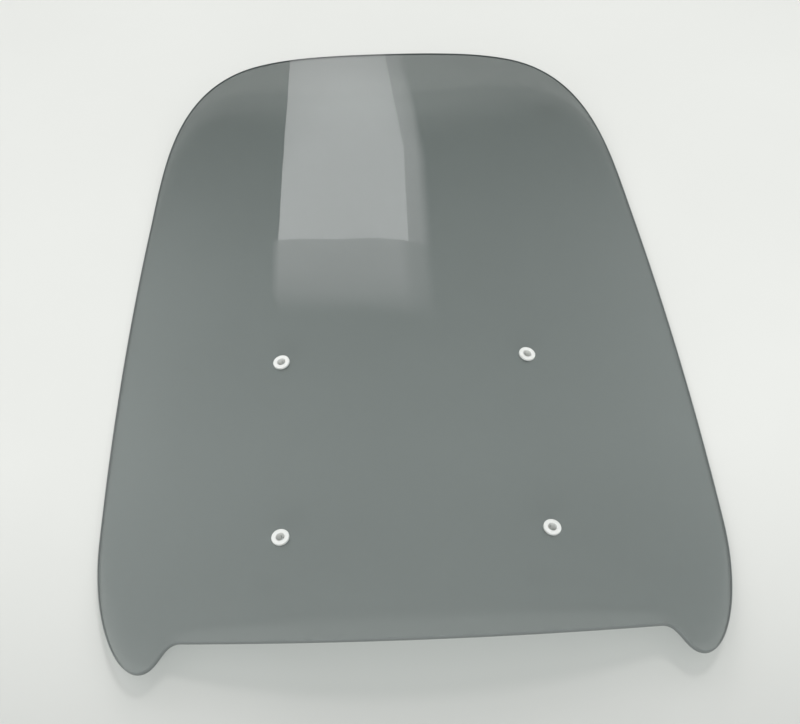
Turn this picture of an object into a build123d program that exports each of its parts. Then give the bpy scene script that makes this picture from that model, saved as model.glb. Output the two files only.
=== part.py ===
from build123d import *
import os
from math import cos, radians, sin, sqrt, tan

os.makedirs("parts", exist_ok=True)

# Motorcycle windshield screen, loose, lying convex side up on its two side edges.
# Millimetres. +Y runs along the ridge to the narrow top, +X to the right, +Z up.
# The outline is drawn as seen from straight above, about the middle of the hole pattern.

# Sheet
SHEET_WIDTH = 390.0
SHEET_T = 3.0
BEND_R = 430.0  # bend radius of the outer face at the middle of the hole pattern
CONE_HALF_ANGLE = 6.5  # degrees; the bend gets tighter towards the top
EDGE_ROUND = 0.9  # polished round on both rims of the outline

# Outline
TOP_Y = 378.4  # middle of the top edge
TOP_SHOULDER_RISE = 6.6  # the ends of the top edge stand a little above its middle
TOP_HALF = 101.0  # half the top edge
CORNER_PULL = 70.0  # how full the upper corners are
SIDE_R = 2700.0  # sides, bowed outwards
SIDE_END_Y = 230.0  # the side's arc meets the upper corner here
WIDEST_Y = -42.0
BOTTOM_Y = -140.2  # middle of the lower edge
BOTTOM_ARC_R = 655.0  # lower edge, bowed downwards
LOWER_EDGE_HALF = 138.0  # half the lower edge, up to the ears
EAR_TIP_X = 160.5
EAR_DROP = 14.2  # ear tip below the end of the lower edge

# Hole pattern
HOLE_PITCH_X = 160.0
HOLE_PITCH_Y = 134.5
HOLE_D = 8.0

# Snap-in bushes
SCREW_HOLE_D = 5.3  # clears an M5 screw
FLANGE_D = 10.8
FLANGE_T = 1.5
FLANGE_ROUND = 0.5
SLEEVE_GAP = 0.1  # sleeve to hole, on radius
SEAT_GAP = 0.05  # flange to sheet
BARB_GAP = 0.08  # barb to sheet
BARB_REACH = 0.5  # barb past the hole's rim
BARB_LEN = 2.2
BARB_SHOULDER = 0.5  # straight part of the barb
TIP_TAPER = 0.6  # how far the tip narrows below the sleeve's radius
SLOT_W = 0.8
SLOT_START = 1.2  # depth below the outer face where the slots begin
BORE_EASE = 0.3

# Rest position
REST_TILT = -0.75  # degrees about X; the narrow top leans down

SLEEVE_R = HOLE_D / 2 - SLEEVE_GAP
BUSH_BOTTOM = -(SHEET_T + BARB_GAP + BARB_LEN)
CONE_TAN = tan(radians(CONE_HALF_ANGLE))
APEX_Y = BEND_R / CONE_TAN


def outer_height(x, y):
    """Height of the cone's outer face below its ridge line, seen from above."""
    run = APEX_Y - y
    c2 = cos(radians(2 * CONE_HALF_ANGLE))
    s2 = sin(radians(2 * CONE_HALF_ANGLE))
    c = cos(radians(CONE_HALF_ANGLE))
    return (sqrt((s2 * run) ** 2 - 4 * c2 * (c * x) ** 2) - s2 * run) / (2 * c2)


def outer_plane(x, y):
    """Plane on the outer face, with its normal outwards and its X to the right."""
    step = 0.01
    slope_x = (outer_height(x + step, y) - outer_height(x - step, y)) / (2 * step)
    slope_y = (outer_height(x, y + step) - outer_height(x, y - step)) / (2 * step)
    return Plane(origin=(x, y, outer_height(x, y)), x_dir=(1, 0, slope_x), z_dir=(-slope_x, -slope_y, 1))


def half_outline():
    """Right half of the core's outline, from the middle of the top edge to the middle of the lower."""
    half_w = SHEET_WIDTH / 2 - EDGE_ROUND
    top_y = TOP_Y - EDGE_ROUND
    bottom_y = BOTTOM_Y + EDGE_ROUND
    shoulder = Vector(TOP_HALF, top_y + TOP_SHOULDER_RISE)
    side_run = Vector(SIDE_END_Y - WIDEST_Y, sqrt(SIDE_R**2 - (SIDE_END_Y - WIDEST_Y) ** 2))
    side_end = Vector(half_w - SIDE_R + side_run.Y, SIDE_END_Y)
    side_dir = Vector(-side_run.X, side_run.Y).normalized()
    widest = Vector(half_w, WIDEST_Y)
    lower_run = sqrt(BOTTOM_ARC_R**2 - LOWER_EDGE_HALF**2)
    lower_end = Vector(LOWER_EDGE_HALF, bottom_y + BOTTOM_ARC_R - lower_run)
    lower_dir = Vector(lower_run, LOWER_EDGE_HALF).normalized()
    ear_tip = Vector(EAR_TIP_X, lower_end.Y - EAR_DROP)
    across = Vector(1, 0)
    down = Vector(0, -1)
    top_edge = Bezier((0, top_y), Vector(43, top_y), shoulder - across * 31, shoulder)
    corner = Bezier(shoulder, shoulder + across * CORNER_PULL, side_end + side_dir * CORNER_PULL, side_end)
    side = RadiusArc(side_end, widest, SIDE_R)
    ear_outside = Bezier(widest, widest + down * 52, ear_tip + across * 15.5, ear_tip)
    ear_inside = Bezier(ear_tip, ear_tip - across * 10.5, lower_end + lower_dir * 12.3, lower_end)
    lower_edge = RadiusArc(lower_end, (0, bottom_y), BOTTOM_ARC_R)
    return [top_edge, corner, side, ear_outside, ear_inside, lower_edge]


def core_face():
    right = half_outline()
    left = [mirror(edge, Plane.YZ) for edge in right]
    return Face(Wire([e for part in right + left for e in part.edges()]))


def hole_spots():
    dx = HOLE_PITCH_X / 2
    dy = HOLE_PITCH_Y / 2
    return {"upper_left": (-dx, dy), "upper_right": (dx, dy), "lower_left": (-dx, -dy), "lower_right": (dx, -dy)}


def cone_skin(depth):
    """The core's outline, cut out of a cone that lies depth inside the outer face."""
    reach = 700.0
    alpha = radians(CONE_HALF_ANGLE)
    far = APEX_Y + reach
    near = APEX_Y - reach
    along = far * cos(alpha) + depth / sin(alpha)
    base = Plane(
        origin=(0, APEX_Y - along * cos(alpha), -along * sin(alpha)),
        z_dir=(0, cos(alpha), sin(alpha)),
    )
    cone = Solid.make_cone(far * sin(alpha), near * sin(alpha), (far - near) * cos(alpha), base)
    prism = Solid.extrude(core_face().moved(Location((0, 0, -120))), Vector(0, 0, 140))
    cut = cone.intersect(prism)
    skins = [f for f in cut.faces() if f.geom_type == GeomType.CONE]
    return max(skins, key=lambda f: f.area)


def build_screen():
    """A thinner, smaller core grown by the edge round, so that every rim comes out rounded."""
    core_t = SHEET_T - 2 * EDGE_ROUND
    core = Solid.thicken(cone_skin(EDGE_ROUND), -core_t, normal_override=(0, 0, 1))
    sheet = core.offset_3d([], EDGE_ROUND)
    drill = Pos(0, 0, -SHEET_T / 2) * Cylinder(HOLE_D / 2, SHEET_T + 4)
    for x, y in hole_spots().values():
        sheet -= outer_plane(x, y) * drill
    return sheet


def build_bush():
    bore_r = SCREW_HOLE_D / 2
    flange_r = FLANGE_D / 2
    barb_r = HOLE_D / 2 + BARB_REACH
    barb_top = -(SHEET_T + BARB_GAP)
    flange_top = SEAT_GAP + FLANGE_T
    profile = Polyline(
        (bore_r, flange_top - BORE_EASE),
        (bore_r + BORE_EASE, flange_top),
        (flange_r, flange_top),
        (flange_r, SEAT_GAP),
        (SLEEVE_R, SEAT_GAP),
        (SLEEVE_R, barb_top),
        (barb_r, barb_top),
        (barb_r, barb_top - BARB_SHOULDER),
        (SLEEVE_R - TIP_TAPER, BUSH_BOTTOM),
        (bore_r, BUSH_BOTTOM),
        close=True,
    )
    bush = revolve(Plane.XZ * make_face(profile), Axis.Z)
    rim = bush.edges().filter_by(GeomType.CIRCLE).group_by(Axis.Z)[-1].sort_by(SortBy.RADIUS)[-1]
    bush = fillet(rim, FLANGE_ROUND)
    slot_h = -SLOT_START - BUSH_BOTTOM + 1
    slot = Pos(0, 0, -SLOT_START - slot_h / 2)
    bush -= slot * Box(FLANGE_D, SLOT_W, slot_h)
    bush -= slot * Box(SLOT_W, FLANGE_D, slot_h)
    return bush


def rest_location(sheet):
    """Leans the screen to its rest angle and sets it on the floor, centred on the origin."""
    lean = Rot(REST_TILT, 0, 0)
    box = (lean * sheet).bounding_box()
    mid = box.center()
    return Pos(-mid.X, -mid.Y, -box.min.Z) * lean


screen = build_screen()
rest = rest_location(screen)
export_step(rest * screen, "parts/screen.step")
for name, (x, y) in hole_spots().items():
    spot = rest * outer_plane(x, y).location
    export_step(spot * build_bush(), f"parts/{name}_bush.step")
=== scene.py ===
from math import ceil, cos, pi, radians, sin, tan

import bpy
import numpy as np
from mathutils import Matrix, Vector
from mathutils.geometry import delaunay_2d_cdt


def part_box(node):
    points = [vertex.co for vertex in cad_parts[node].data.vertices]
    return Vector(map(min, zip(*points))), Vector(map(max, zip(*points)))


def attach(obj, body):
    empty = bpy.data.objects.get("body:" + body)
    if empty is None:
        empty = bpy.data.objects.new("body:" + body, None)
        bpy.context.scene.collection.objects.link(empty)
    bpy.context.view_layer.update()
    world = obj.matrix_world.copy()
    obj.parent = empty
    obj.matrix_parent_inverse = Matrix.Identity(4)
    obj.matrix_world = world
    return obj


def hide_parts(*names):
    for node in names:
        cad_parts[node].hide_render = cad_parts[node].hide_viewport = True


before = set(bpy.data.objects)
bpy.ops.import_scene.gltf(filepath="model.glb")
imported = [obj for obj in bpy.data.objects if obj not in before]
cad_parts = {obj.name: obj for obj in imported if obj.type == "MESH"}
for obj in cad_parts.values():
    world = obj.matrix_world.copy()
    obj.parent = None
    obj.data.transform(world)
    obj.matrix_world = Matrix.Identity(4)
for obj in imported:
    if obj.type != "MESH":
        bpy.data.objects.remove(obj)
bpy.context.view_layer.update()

# Tinted motorcycle windshield screen, lying convex side up on a pale table.
# Sizes of the sheet are in millimetres, in a plan whose origin is the middle of the hole pattern.

MM = 0.001

# Sheet, as in the CAD model
SHEET_WIDTH = 390.0
SHEET_T = 3.0
BEND_R = 430.0
CONE_HALF_ANGLE = radians(6.5)
EDGE_ROUND = 0.9
REST_TILT = radians(-0.75)

# Outline
TOP_Y = 378.4
TOP_SHOULDER_RISE = 6.6
TOP_HALF = 101.0
TOP_EDGE_PULLS = (43.0, 31.0)
CORNER_PULL = 70.0
SIDE_R = 2700.0
SIDE_END_Y = 230.0
WIDEST_Y = -42.0
BOTTOM_Y = -140.2
BOTTOM_ARC_R = 655.0
LOWER_EDGE_HALF = 138.0
EAR_TIP_X = 160.5
EAR_DROP = 14.2
EAR_OUTSIDE_PULLS = (52.0, 15.5)
EAR_INSIDE_PULLS = (10.5, 12.3)

# Holes
HOLE_PITCH_X = 160.0
HOLE_PITCH_Y = 134.5
HOLE_D = 8.0
HOLE_EASE = 0.25

# Mesh fineness
EDGE_STEP = 1.6
GRID_STEP = 5.0
GRID_GAP = 0.45  # grid points nearer than this share of a step to a ring are left out
HOLE_SIDES = 48
HOLE_SPREADS = (1.3, 3.2, 6.0)  # rings of points round each hole, past its radius
HOLE_CLEAR = 1.0
RIM_STEPS = 6
EASE_STEPS = 3
FEWEST_STEPS = 8
SLOPE_STEP = 0.05
MERGE = 1e-6

APEX_Y = BEND_R / tan(CONE_HALF_ANGLE)
BUSHES = ("upper_left_bush", "upper_right_bush", "lower_left_bush", "lower_right_bush")


def outer_height(x, y):
    """Height of the bent outer face below its ridge line."""
    run = APEX_Y - y
    c2 = cos(2 * CONE_HALF_ANGLE)
    s2 = sin(2 * CONE_HALF_ANGLE)
    c = cos(CONE_HALF_ANGLE)
    return (np.sqrt((s2 * run) ** 2 - 4 * c2 * (c * x) ** 2) - s2 * run) / (2 * c2)


def skin(plan, depth):
    """Points and outward normals of the surface that lies depth inside the outer face."""
    x = plan[:, 0]
    y = plan[:, 1] + depth / tan(CONE_HALF_ANGLE)
    step = SLOPE_STEP
    slope_x = (outer_height(x + step, y) - outer_height(x - step, y)) / (2 * step)
    slope_y = (outer_height(x, y + step) - outer_height(x, y - step)) / (2 * step)
    normals = np.stack([-slope_x, -slope_y, np.ones_like(x)], 1)
    normals /= np.linalg.norm(normals, axis=1)[:, None]
    return np.stack([x, plan[:, 1], outer_height(x, y) - depth], 1), normals


def bezier(a, b, c, d):
    """Points along a cubic curve, without its last one."""
    a, b, c, d = (np.array(p, float) for p in (a, b, c, d))
    count = max(FEWEST_STEPS, ceil(np.linalg.norm(d - a) / EDGE_STEP))
    t = (np.arange(count) / count)[:, None]
    return (1 - t) ** 3 * a + 3 * (1 - t) ** 2 * t * b + 3 * (1 - t) * t**2 * c + t**3 * d


def arc(centre, r, start, stop):
    """Points along an arc, without its last one."""
    count = max(FEWEST_STEPS, ceil(abs(stop - start) * r / EDGE_STEP))
    t = start + (stop - start) * np.arange(count) / count
    return np.stack([centre[0] + r * np.cos(t), centre[1] + r * np.sin(t)], 1)


def outline():
    """The core's outline, clockwise from the middle of the top edge; the rounded rim grows from it."""
    half_w = SHEET_WIDTH / 2 - EDGE_ROUND
    top_y = TOP_Y - EDGE_ROUND
    bottom_y = BOTTOM_Y + EDGE_ROUND
    shoulder = np.array([TOP_HALF, top_y + TOP_SHOULDER_RISE])
    side_angle = np.arcsin((SIDE_END_Y - WIDEST_Y) / SIDE_R)
    side_centre = (half_w - SIDE_R, WIDEST_Y)
    side_end = np.array([side_centre[0] + SIDE_R * cos(side_angle), SIDE_END_Y])
    side_dir = np.array([-sin(side_angle), cos(side_angle)])
    widest = np.array([half_w, WIDEST_Y])
    lower_angle = np.arcsin(LOWER_EDGE_HALF / BOTTOM_ARC_R)
    lower_centre = (0.0, bottom_y + BOTTOM_ARC_R)
    lower_end = np.array([LOWER_EDGE_HALF, lower_centre[1] - BOTTOM_ARC_R * cos(lower_angle)])
    lower_dir = np.array([cos(lower_angle), sin(lower_angle)])
    ear_tip = np.array([EAR_TIP_X, lower_end[1] - EAR_DROP])
    across = np.array([1.0, 0.0])
    down = np.array([0.0, -1.0])
    right = np.concatenate([
        bezier((0, top_y), (TOP_EDGE_PULLS[0], top_y), shoulder - across * TOP_EDGE_PULLS[1], shoulder),
        bezier(shoulder, shoulder + across * CORNER_PULL, side_end + side_dir * CORNER_PULL, side_end),
        arc(side_centre, SIDE_R, side_angle, 0.0),
        bezier(
            widest,
            widest + down * EAR_OUTSIDE_PULLS[0],
            ear_tip + across * EAR_OUTSIDE_PULLS[1],
            ear_tip,
        ),
        bezier(
            ear_tip,
            ear_tip - across * EAR_INSIDE_PULLS[0],
            lower_end + lower_dir * EAR_INSIDE_PULLS[1],
            lower_end,
        ),
        arc(lower_centre, BOTTOM_ARC_R, lower_angle - pi / 2, -pi / 2),
        [(0.0, bottom_y)],
    ])
    left = right[-2:0:-1] * (-1, 1)
    return np.concatenate([right, left])


def inside(points, loop):
    """Which points lie inside a closed loop."""
    hits = np.zeros(len(points), bool)
    for a, b in zip(loop, np.roll(loop, -1, 0)):
        crosses = (a[1] > points[:, 1]) != (b[1] > points[:, 1])
        level = np.where(b[1] == a[1], 1.0, b[1] - a[1])
        at = a[0] + (points[:, 1] - a[1]) * (b[0] - a[0]) / level
        hits ^= crosses & (points[:, 0] < at)
    return hits


def hole_spots():
    dx = HOLE_PITCH_X / 2
    dy = HOLE_PITCH_Y / 2
    return np.array([(-dx, dy), (dx, dy), (-dx, -dy), (dx, -dy)])


def circle(spot, r, sides):
    """A round ring on the outer face about the hole's own axis, seen from above."""
    foot, normal = skin(spot[None, :], 0.0)
    across = np.cross((0.0, 1.0, 0.0), normal[0])
    across /= np.linalg.norm(across)
    along = np.cross(normal[0], across)
    turn = np.arange(sides) * 2 * pi / sides
    return foot[0][:2] + r * (np.outer(np.cos(turn), across[:2]) + np.outer(np.sin(turn), along[:2]))


def grid_points(loop, rings):
    """Evenly spread points inside the outline, clear of its edge and of the hole rings."""
    low, high = loop.min(0), loop.max(0)
    rows = np.arange(low[1], high[1], GRID_STEP * cos(pi / 6))
    points = []
    for i, y in enumerate(rows):
        xs = np.arange(0.0 if i % 2 else GRID_STEP / 2, high[0], GRID_STEP)
        points += [(x, y) for x in xs] + [(-x, y) for x in xs if x > 0]
    points = np.array(points)
    points = points[inside(points, loop)]
    fixed = np.concatenate([loop, *rings])
    gap = np.array([np.min(np.linalg.norm(fixed - p, axis=1)) for p in points])
    points = points[gap > GRID_STEP * GRID_GAP]
    clear = [np.linalg.norm(points - spot, axis=1) > HOLE_D / 2 + HOLE_CLEAR for spot in hole_spots()]
    return points[np.all(clear, 0)]


def plan_mesh():
    """Triangles over the plan of the core. The outline comes first in the points, then each hole."""
    loop = outline()
    rims = [circle(spot, HOLE_D / 2 + HOLE_EASE, HOLE_SIDES) for spot in hole_spots()]
    spread = [
        circle(spot, HOLE_D / 2 + grow, HOLE_SIDES // 2) for spot in hole_spots() for grow in HOLE_SPREADS
    ]
    points = np.concatenate([loop, *rims, *spread, grid_points(loop, rims + spread)])
    edges = []
    start = 0
    for ring in [loop, *rims]:
        edges += [(start + i, start + (i + 1) % len(ring)) for i in range(len(ring))]
        start += len(ring)
    out = delaunay_2d_cdt([Vector(p) for p in points], edges, [], 1, MERGE)
    verts = np.array([v[:] for v in out[0]])
    order = {}
    for new, olds in enumerate(out[3]):
        for old in olds:
            order[old] = new
    middle = np.array([verts[list(f)].mean(0) for f in out[2]])
    keep = inside(middle, loop)
    for rim in rims:
        keep &= ~inside(middle, rim)
    faces = [f for f, k in zip(out[2], keep) if k]
    rings = []
    start = 0
    for ring in [loop, *rims]:
        rings.append([order[start + i] for i in range(len(ring))])
        start += len(ring)
    return verts, faces, rings


def band(rows, polys):
    """Adds quads between rows of vertex numbers that run round a closed ring."""
    for upper, lower in zip(rows, rows[1:]):
        n = len(upper)
        for i in range(n):
            j = (i + 1) % n
            polys.append((upper[i], upper[j], lower[j], lower[i]))


def build_screen():
    """The sheet as one closed mesh: two smooth faces, a rounded rim and four eased holes."""
    plan, faces, rings = plan_mesh()
    core, normals = skin(plan, EDGE_ROUND)
    outer = core + normals * EDGE_ROUND
    inner = core - normals * (SHEET_T - EDGE_ROUND)
    count = len(plan)
    points = [outer, inner]
    shades = [normals, -normals]
    polys = [tuple(f) for f in faces] + [tuple(count + i for i in reversed(f)) for f in faces]
    polished = len(polys)
    total = 2 * count

    def add_row(place, shade):
        nonlocal total
        points.append(place)
        shades.append(shade)
        total += len(place)
        return list(range(total - len(place), total))

    border = rings[0]
    along = core[np.roll(border, -1)] - core[np.roll(border, 1)]
    out = np.cross(normals[border], along)
    out /= np.linalg.norm(out, axis=1)[:, None]
    angles = np.linspace(pi / 2, 0, RIM_STEPS + 1)[1:]
    rows = [border]
    for side, angle in [(1, a) for a in angles] + [(-1, a) for a in angles[::-1]]:
        shade = out * cos(angle) + normals[border] * sin(angle) * side
        foot = core[border] if side > 0 else core[border] - normals[border] * (SHEET_T - 2 * EDGE_ROUND)
        rows.append(add_row(foot + shade * EDGE_ROUND, shade))
    rows.append([count + i for i in border])
    band(rows, polys)

    for spot, ring in zip(hole_spots(), rings[1:]):
        foot, axis = skin(spot[None, :], 0.0)
        spoke = outer[ring] - foot[0]
        spoke -= np.outer(spoke @ axis[0], axis[0])
        spoke /= np.linalg.norm(spoke, axis=1)[:, None]
        rows = [ring]
        turns = np.linspace(0, pi / 2, EASE_STEPS + 1)[1:]
        for side, turn in [(1, a) for a in turns] + [(-1, a) for a in turns[::-1]]:
            depth = HOLE_EASE * (1 - cos(turn))
            face = outer[ring] - normals[ring] * depth if side > 0 else inner[ring] + normals[ring] * depth
            shade = -spoke * sin(turn) + normals[ring] * cos(turn) * side
            rows.append(add_row(face - spoke * HOLE_EASE * sin(turn), shade))
        rows.append([count + i for i in ring])
        band(rows, polys)

    place = np.concatenate(points)
    shade = np.concatenate(shades)
    turn = np.array(Matrix.Rotation(REST_TILT, 3, "X"))
    place = place @ turn.T * MM
    shade = shade @ turn.T
    low, high = (np.array(c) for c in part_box("screen"))
    shift = (low + high - place.min(0) - place.max(0)) / 2
    shift[2] = low[2] - place[:, 2].min()
    place += shift

    mesh = bpy.data.meshes.new("clear_screen")
    mesh.from_pydata(place.tolist(), [], polys)
    mesh.update()
    mesh.shade_smooth()
    mesh.materials.append(tinted_acrylic())
    mesh.materials.append(cut_edge())
    mesh.polygons.foreach_set("material_index", [int(i >= polished) for i in range(len(polys))])
    mesh.normals_split_custom_set_from_vertices(shade.tolist())
    mesh.validate()
    screen = bpy.data.objects.new("clear_screen", mesh)
    bpy.context.scene.collection.objects.link(screen)
    return screen


# Materials

class Nodes:
    """Short calls for building a material's nodes."""

    def __init__(self, name):
        self.material = bpy.data.materials.new(name)
        self.material.use_nodes = True
        self.tree = self.material.node_tree
        self.tree.nodes.clear()
        self.place = self.add("ShaderNodeTexCoord").outputs["Object"]

    def add(self, kind, **settings):
        node = self.tree.nodes.new(kind)
        for key, value in settings.items():
            setattr(node, key, value)
        return node

    def link(self, source, target):
        self.tree.links.new(source, target)

    def feed(self, node, **inputs):
        """Sets or links a node's inputs by name, with underscores for spaces."""
        for key, value in inputs.items():
            socket = node.inputs[key.replace("_", " ")]
            if isinstance(value, bpy.types.NodeSocket):
                self.link(value, socket)
            else:
                socket.default_value = value
        return node

    def noise(self, scale, detail=2.0, roughness=0.5, stretch=(1, 1, 1)):
        spot = self.add("ShaderNodeMapping")
        spot.inputs["Scale"].default_value = stretch
        self.link(self.place, spot.inputs["Vector"])
        node = self.add("ShaderNodeTexNoise")
        return self.feed(
            node, Vector=spot.outputs["Vector"], Scale=scale, Detail=detail, Roughness=roughness
        ).outputs["Fac"]

    def ramp(self, value, low, high, to_low, to_high):
        node = self.add("ShaderNodeMapRange")
        values = {"Value": value, "From Min": low, "From Max": high, "To Min": to_low, "To Max": to_high}
        for key, item in values.items():
            if isinstance(item, bpy.types.NodeSocket):
                self.link(item, node.inputs[key])
            else:
                node.inputs[key].default_value = item
        return node.outputs["Result"]

    def math(self, operation, a, b):
        node = self.add("ShaderNodeMath", operation=operation)
        for socket, item in zip(node.inputs, (a, b)):
            if isinstance(item, bpy.types.NodeSocket):
                self.link(item, socket)
            else:
                socket.default_value = item
        return node.outputs[0]

    def mix(self, factor, a, b):
        node = self.add("ShaderNodeMix", data_type="RGBA")
        for socket, item in ((node.inputs["Factor"], factor), (node.inputs[6], a), (node.inputs[7], b)):
            if isinstance(item, bpy.types.NodeSocket):
                self.link(item, socket)
            else:
                socket.default_value = item if isinstance(item, float) else (*item, 1.0)
        return node.outputs[2]

    def bump(self, height, strength, distance):
        node = self.add("ShaderNodeBump")
        return self.feed(node, Height=height, Strength=strength, Distance=distance).outputs["Normal"]

    def finish(self, shader):
        out = self.add("ShaderNodeOutputMaterial")
        self.link(shader, out.inputs["Surface"])
        return self.material


# Room, in metres in the frame. Radiance 1 shows as white.

# Window panels, level in the air beyond the narrow top
PANEL_HEIGHT = 1.55
PANEL_COLUMNS = 13
WINDOW_COLOUR = (1.0, 0.985, 0.99)
WINDOW_RADIANCE = 3.75
WINDOW_NEAR_X, WINDOW_NEAR_Y, WINDOW_NEAR_BOW = 0.1, 1.60, 0.25
WINDOW_NEAR_SPAN = (-0.88, 0.17)
WINDOW_ROWS = (  # left and right end of each further row, with its glow
    ((-0.863, 2.10), (0.195, 1.93), 0.90),
    ((-0.817, 2.54), (0.10, 2.27), 0.46),
    ((-0.745, 3.4), (0.0, 3.2), 0.10),
)
SILL_RADIANCE = 2.35
SILL_SPAN = (-0.94, 0.34)
SILL_FULL_COLUMNS = 13
SILL_RIGHT_FADE = (0.6, 0.5, 0.0)
SILL_ROWS = ((0.0, 1.0), (0.10, 0.9), (0.17, 0.65), (0.24, 0.0))  # how far out, with the glow
JAMB_RADIANCE = 2.2
JAMB_NEAR = (0.17, 1.602)
JAMB_WIDTHS = ((0.0, 1.0), (0.1, 0.85), (0.18, 0.0))  # how far to the right, with the glow
JAMB_GLOW = (1.0, 1.0, 0.35, 0.05)  # from the near end to the far one

# Lamps
OVERHEAD_PLACE, OVERHEAD_AIM, OVERHEAD_SIZE = (0.30, 0.10, 1.9), (0.0, 0.0, 0.0), (0.4, 0.4)
OVERHEAD_RADIANCE = 12.0
FRONT_PLACE, FRONT_AIM, FRONT_SIZE = (-0.3, -3.0, 2.9), (0.0, 0.2, 0.0), (1.2, 0.9)
FRONT_RADIANCE = 18.0
FLAG_Z = 0.4
FLAG_EDGE_Y = -0.597
FLAG_FAR_Y = -6.0
FLAG_REACH = 5.0
FLAG_GREY = 0.02

# Room light by how far a direction points ahead, from -1 to 1
ROOM_RADIANCE = 1.0
ROOM_COLOUR = (0.965, 1.0, 0.99)
ROOM_GLOW = ((-0.2, 1.0), (0.1, 0.15), (0.45, 1.55), (0.6, 1.46), (0.7, 1.03), (0.78, 0.28), (0.88, 0.06))
LEFT_BIAS = 0.22

# Camera
CAMERA_PLACE = (-0.0368, -0.6095, 0.7163)
CAMERA_AZIMUTH, CAMERA_ELEVATION, CAMERA_ROLL = radians(2.14), radians(51.66), radians(-0.298)
CAMERA_LENS = 60.3
CAMERA_SENSOR = 36.0
CAMERA_SHIFT = (0.025, 0.02875)

# Finishes

TINT = (0.367, 0.394, 0.391)  # what one pass through the sheet lets through
TOP_PAINTED_SHADE_RUN = (0.195, 0.262)  # painted shade: the sheet's colour darkens over this run towards the narrow top
TOP_PAINTED_SHADE_SHARE = 0.77  # of the tint, at the end of that run, where the painted shade is darkest
SHADE_TINT = (0.465, 0.5, 0.495)  # what one pass lets through of the light that reaches the table
EDGE_COLOUR = (0.17, 0.185, 0.182)
EDGE_DARKEST = 0.9
SURFACE_LOSS = 0.955  # what each polished face lets through
ACRYLIC_IOR = 1.49
TINT_CLOUDS = 0.015
RIPPLE_DEPTH = 0.00006
HAIRLINE_SHARE = 0.004  # depth of the hairlines, as a share of the ripple's
POLISH = (0.012, 0.05)  # roughness where the faces are clean and where they are wiped
SATIN = (0.3, 0.45)
CUTTER_MARK_DEPTH = 0.00003
NYLON_IOR = 1.53
NYLON_MILK, NYLON_SPREAD, NYLON_DEPTH = 0.15, (1.0, 0.95, 0.85), 0.0006
NYLON_SKIN = (0.34, 0.48)
NYLON_SKIN_DEPTH = 0.00002
NYLON_LOW, NYLON_HIGH = (0.65, 0.65, 0.63), (0.70, 0.70, 0.685)
TABLE_LOW, TABLE_HIGH = (0.654, 0.65, 0.63), (0.669, 0.665, 0.645)
TABLE_ROUGHNESS = 0.85
TABLE_SPECULAR = 0.2
TABLE_REACH = 7.0
CLOUD_RANGE = (0.3, 0.7)  # of a noise, as its darkest and lightest


def tinted_acrylic():
    """Smoke-tinted sheet: cast-in tint with faint clouds and painted shade darkening it towards the narrow
    top, polished faces with wipe haze and hairlines.
    """
    n = Nodes("tinted_acrylic_finish")
    clouds = n.noise(9.0, 3.0, 0.55)
    cast = n.ramp(clouds, *CLOUD_RANGE, 0.0, 1.0)
    body = n.mix(
        cast, tuple(c * (1 - TINT_CLOUDS) for c in TINT), tuple(c * (1 + TINT_CLOUDS) for c in TINT)
    )
    along = n.add("ShaderNodeSeparateXYZ")
    n.link(n.place, along.inputs[0])
    # Painted shade: the colour darkens towards the narrow top, standing in for shade on the table seen
    # through the sheet there.
    painted_top_shade = n.ramp(along.outputs["Y"], *TOP_PAINTED_SHADE_RUN, 0.0, 1.0)
    colour = n.mix(painted_top_shade, body, tuple(c * TOP_PAINTED_SHADE_SHARE for c in TINT))

    wipes = n.noise(26.0, 4.0, 0.6, stretch=(1.0, 0.25, 1.0))
    roughness = n.ramp(wipes, 0.45, 0.8, *POLISH)

    ripple = n.noise(14.0, 2.0, 0.4)
    hairlines = n.noise(240.0, 2.0, 0.7, stretch=(1.0, 0.02, 1.0))
    cuts = n.ramp(hairlines, 0.74, 0.8, 0.0, 1.0)
    relief = n.math("SUBTRACT", ripple, n.math("MULTIPLY", cuts, HAIRLINE_SHARE))
    normal = n.bump(relief, 1.0, RIPPLE_DEPTH)

    glass = n.add("ShaderNodeBsdfPrincipled")
    n.feed(glass, Base_Color=colour, Roughness=roughness, Normal=normal)
    n.feed(glass, IOR=ACRYLIC_IOR, Transmission_Weight=1.0)
    through = n.add("ShaderNodeBsdfTransparent")
    through.inputs["Color"].default_value = (*[c**0.5 * SURFACE_LOSS for c in SHADE_TINT], 1.0)
    paths = n.add("ShaderNodeLightPath")
    shaded = n.add("ShaderNodeMixShader")
    n.link(paths.outputs["Is Shadow Ray"], shaded.inputs[0])
    n.link(glass.outputs[0], shaded.inputs[1])
    n.link(through.outputs[0], shaded.inputs[2])
    lit = n.add("ShaderNodeMixShader")
    n.link(paths.outputs["Is Diffuse Ray"], lit.inputs[0])
    n.link(shaded.outputs[0], lit.inputs[1])
    n.link(through.outputs[0], lit.inputs[2])
    return n.finish(lit.outputs[0])


def cut_edge():
    """The sheet's machined rim and hole walls: satin, with fine cutter marks."""
    n = Nodes("cut_edge_finish")
    marks = n.noise(900.0, 3.0, 0.6)
    depth = n.ramp(marks, *CLOUD_RANGE, 0.0, 1.0)
    colour = n.mix(depth, tuple(c * EDGE_DARKEST for c in EDGE_COLOUR), EDGE_COLOUR)
    shader = n.add("ShaderNodeBsdfPrincipled")
    n.feed(shader, Base_Color=colour, Roughness=n.ramp(marks, *CLOUD_RANGE, *SATIN), IOR=ACRYLIC_IOR)
    n.feed(shader, Normal=n.bump(marks, 0.4, CUTTER_MARK_DEPTH))
    return n.finish(shader.outputs[0])


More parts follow.
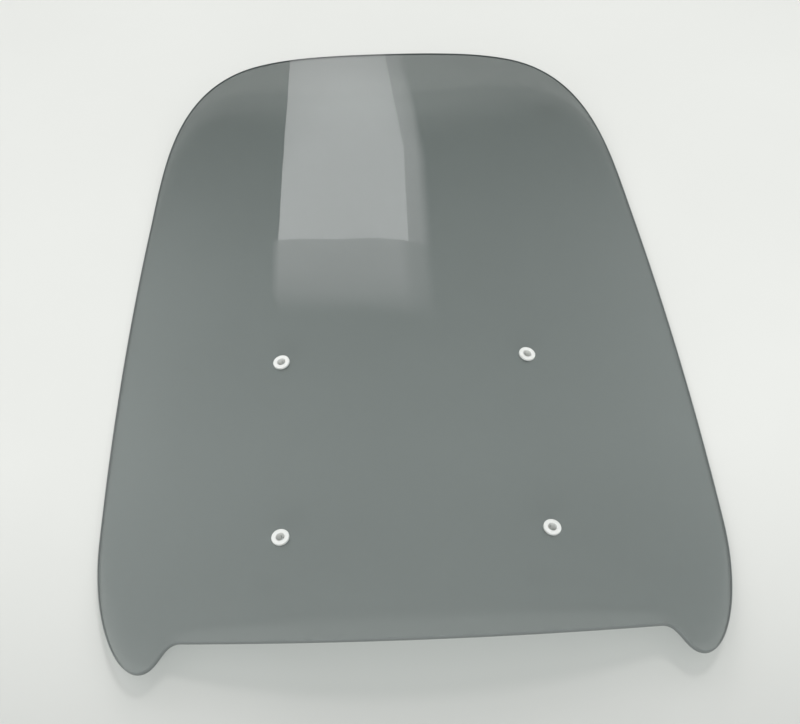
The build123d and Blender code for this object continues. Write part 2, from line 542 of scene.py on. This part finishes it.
def natural_nylon():
    """Moulded natural nylon: slightly milky, with a fine eroded skin and faint flow marks."""
    n = Nodes("natural_nylon_finish")
    flow = n.ramp(n.noise(420.0, 3.0, 0.55), *CLOUD_RANGE, 0.0, 1.0)
    colour = n.mix(flow, NYLON_LOW, NYLON_HIGH)
    skin_marks = n.noise(5200.0, 2.0, 0.5)
    roughness = n.ramp(skin_marks, *CLOUD_RANGE, *NYLON_SKIN)
    normal = n.bump(skin_marks, 0.5, NYLON_SKIN_DEPTH)
    shader = n.add("ShaderNodeBsdfPrincipled")
    n.feed(shader, Base_Color=colour, Roughness=roughness, Normal=normal, IOR=NYLON_IOR)
    n.feed(shader, Subsurface_Weight=NYLON_MILK, Subsurface_Radius=NYLON_SPREAD, Subsurface_Scale=NYLON_DEPTH)
    return n.finish(shader.outputs[0])


def table_top():
    """Plain pale table with the faintest mottling."""
    n = Nodes("table_top")
    soft = n.ramp(n.noise(6.0, 3.0), *CLOUD_RANGE, 0.0, 1.0)
    colour = n.mix(soft, TABLE_LOW, TABLE_HIGH)
    shader = n.add("ShaderNodeBsdfPrincipled")
    n.feed(shader, Base_Color=colour, Roughness=TABLE_ROUGHNESS, Specular_IOR_Level=TABLE_SPECULAR)
    return n.finish(shader.outputs[0])


# Scene

def level_card(left, near, right, far, z):
    """Corners and one face of a level rectangle."""
    return [(left, near, z), (right, near, z), (right, far, z), (left, far, z)], [(0, 1, 2, 3)]


def stage_mesh(name, shape, material):
    """A piece of the stage from its points and faces."""
    points, faces = shape
    mesh = bpy.data.meshes.new(name)
    mesh.from_pydata(points, [], faces)
    mesh.materials.append(material)
    piece = bpy.data.objects.new(name, mesh)
    bpy.context.scene.collection.objects.link(piece)
    return piece


def build_table():
    shape = level_card(-TABLE_REACH, -TABLE_REACH, TABLE_REACH, TABLE_REACH, 0.0)
    stage_mesh("table", shape, table_top())


def glowing(name, colour, radiance):
    """Light that fades to clear where the mesh's glow values fall to nothing."""
    n = Nodes(name)
    glow = n.add("ShaderNodeAttribute", attribute_name="glow").outputs["Fac"]
    light = n.add("ShaderNodeEmission")
    light.inputs["Color"].default_value = (*colour, 1.0)
    light.inputs["Strength"].default_value = radiance
    fade = n.add("ShaderNodeMixShader")
    n.link(glow, fade.inputs[0])
    n.link(n.add("ShaderNodeBsdfTransparent").outputs[0], fade.inputs[1])
    n.link(light.outputs[0], fade.inputs[2])
    return n.finish(fade.outputs[0])


def light_panel(name, rows, colour, radiance):
    """A level panel in the air, from rows of equally many points with their glows."""
    points = [(x, y, PANEL_HEIGHT) for row, levels in rows for x, y in row]
    glow = [level for row, levels in rows for level in levels]
    n = len(rows[0][0])
    faces = [
        (i * n + j, i * n + j + 1, (i + 1) * n + j + 1, (i + 1) * n + j)
        for i in range(len(rows) - 1)
        for j in range(n - 1)
    ]
    panel = stage_mesh(name, (points, faces), glowing(name, colour, radiance))
    panel.data.attributes.new("glow", "FLOAT", "POINT").data.foreach_set("value", glow)
    panel.visible_camera = False
    return panel


def window_near(x):
    """The window panel's near border, seen from above."""
    return WINDOW_NEAR_Y + WINDOW_NEAR_BOW * (x - WINDOW_NEAR_X) ** 2


def build_window():
    """A bright panel beyond the narrow top, with a dimmer near border and a dim right border."""
    near_x = np.linspace(*WINDOW_NEAR_SPAN, PANEL_COLUMNS)
    near = np.stack([near_x, window_near(near_x)], 1)
    rows = [(near, np.full(PANEL_COLUMNS, 1.0))]
    for left, right, level in WINDOW_ROWS:
        rows.append((np.linspace(left, right, PANEL_COLUMNS), np.full(PANEL_COLUMNS, level)))
    light_panel("window", rows, WINDOW_COLOUR, WINDOW_RADIANCE)

    ends = np.array([0.0, *[1.0] * SILL_FULL_COLUMNS, *SILL_RIGHT_FADE])
    sill_x = np.linspace(*SILL_SPAN, len(ends))
    sill = np.stack([sill_x, window_near(sill_x)], 1)
    rows = [(sill - (0.0, out), ends * level) for out, level in SILL_ROWS]
    light_panel("window_sill", rows, WINDOW_COLOUR, SILL_RADIANCE)

    widths, fades = zip(*JAMB_WIDTHS)
    border = [JAMB_NEAR, *[right for left, right, level in WINDOW_ROWS]]
    rows = [
        (np.stack([np.array(p) + (width, 0.0) for width in widths]), np.array(fades) * level)
        for p, level in zip(border, JAMB_GLOW)
    ]
    light_panel("window_jamb", rows, WINDOW_COLOUR, JAMB_RADIANCE)


def lamp(name, place, aim, size, radiance):
    """A rectangular lamp that lights the scene but isn't mirrored in the sheet."""
    light = bpy.data.lights.new(name, "AREA")
    light.shape = "RECTANGLE"
    light.size, light.size_y = size
    light.energy = radiance * size[0] * size[1] * pi
    holder = bpy.data.objects.new(name, light)
    bpy.context.scene.collection.objects.link(holder)
    holder.location = place
    holder.rotation_euler = (Vector(aim) - Vector(place)).to_track_quat("-Z", "Y").to_euler()
    holder.visible_glossy = False
    holder.visible_transmission = False


def build_flag():
    """A dark card that keeps the front lamp off the near end of the table."""
    n = Nodes("flag_card")
    card = n.add("ShaderNodeBsdfDiffuse")
    card.inputs["Color"].default_value = (FLAG_GREY, FLAG_GREY, FLAG_GREY, 1.0)
    shape = level_card(-FLAG_REACH, FLAG_FAR_Y, FLAG_REACH, FLAG_EDGE_Y, FLAG_Z)
    flag = stage_mesh("flag", shape, n.finish(card.outputs[0]))
    flag.visible_camera = False
    flag.visible_glossy = False
    flag.visible_transmission = False
    flag.visible_diffuse = False


def build_camera():
    """The photo's view: from above the lower edge, looking along the ridge."""
    level = cos(CAMERA_ELEVATION)
    ahead = Vector((sin(CAMERA_AZIMUTH) * level, cos(CAMERA_AZIMUTH) * level, -sin(CAMERA_ELEVATION)))
    lens = bpy.data.cameras.new("camera")
    lens.sensor_width = CAMERA_SENSOR
    lens.lens = CAMERA_LENS
    lens.shift_x, lens.shift_y = CAMERA_SHIFT
    camera = bpy.data.objects.new("camera", lens)
    bpy.context.scene.collection.objects.link(camera)
    camera.location = CAMERA_PLACE
    turn = ahead.to_track_quat("-Z", "Y").to_matrix() @ Matrix.Rotation(CAMERA_ROLL, 3, "Z")
    camera.rotation_euler = turn.to_euler()
    bpy.context.scene.camera = camera


def build_world():
    """Soft room light, dim where the narrow top points, and brighter to the sides and above."""
    world = bpy.data.worlds.new("studio")
    world.use_nodes = True
    tree = world.node_tree
    sky = tree.nodes["Background"]
    place = tree.nodes.new("ShaderNodeTexCoord")
    parts = tree.nodes.new("ShaderNodeSeparateXYZ")
    tree.links.new(place.outputs["Generated"], parts.inputs[0])
    ramp = tree.nodes.new("ShaderNodeValToRGB")
    ramp.color_ramp.interpolation = "LINEAR"
    ahead = tree.nodes.new("ShaderNodeMapRange")
    ahead.inputs["From Min"].default_value = -1.0
    tree.links.new(parts.outputs["Y"], ahead.inputs["Value"])
    tree.links.new(ahead.outputs["Result"], ramp.inputs["Fac"])
    stops = ramp.color_ramp.elements
    while len(stops) < len(ROOM_GLOW):
        stops.new(0.5)
    for stop, (y, level) in zip(stops, ROOM_GLOW):
        stop.position = (y + 1) / 2
        stop.color = (*[level * c for c in ROOM_COLOUR], 1.0)
    side = tree.nodes.new("ShaderNodeMath")
    side.operation = "MULTIPLY_ADD"
    tree.links.new(parts.outputs["X"], side.inputs[0])
    side.inputs[1].default_value = -LEFT_BIAS * ROOM_RADIANCE
    side.inputs[2].default_value = ROOM_RADIANCE
    tree.links.new(ramp.outputs["Color"], sky.inputs["Color"])
    tree.links.new(side.outputs[0], sky.inputs["Strength"])
    bpy.context.scene.world = world


screen = build_screen()
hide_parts("screen")
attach(screen, "root")

nylon = natural_nylon()
for name in BUSHES:
    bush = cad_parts[name]
    for slot in bush.material_slots:
        slot.material = nylon

build_table()
build_camera()
build_world()
build_window()
lamp("overhead", OVERHEAD_PLACE, OVERHEAD_AIM, OVERHEAD_SIZE, OVERHEAD_RADIANCE)
lamp("front", FRONT_PLACE, FRONT_AIM, FRONT_SIZE, FRONT_RADIANCE)
build_flag()

bpy.context.scene.view_settings.view_transform = "Standard"
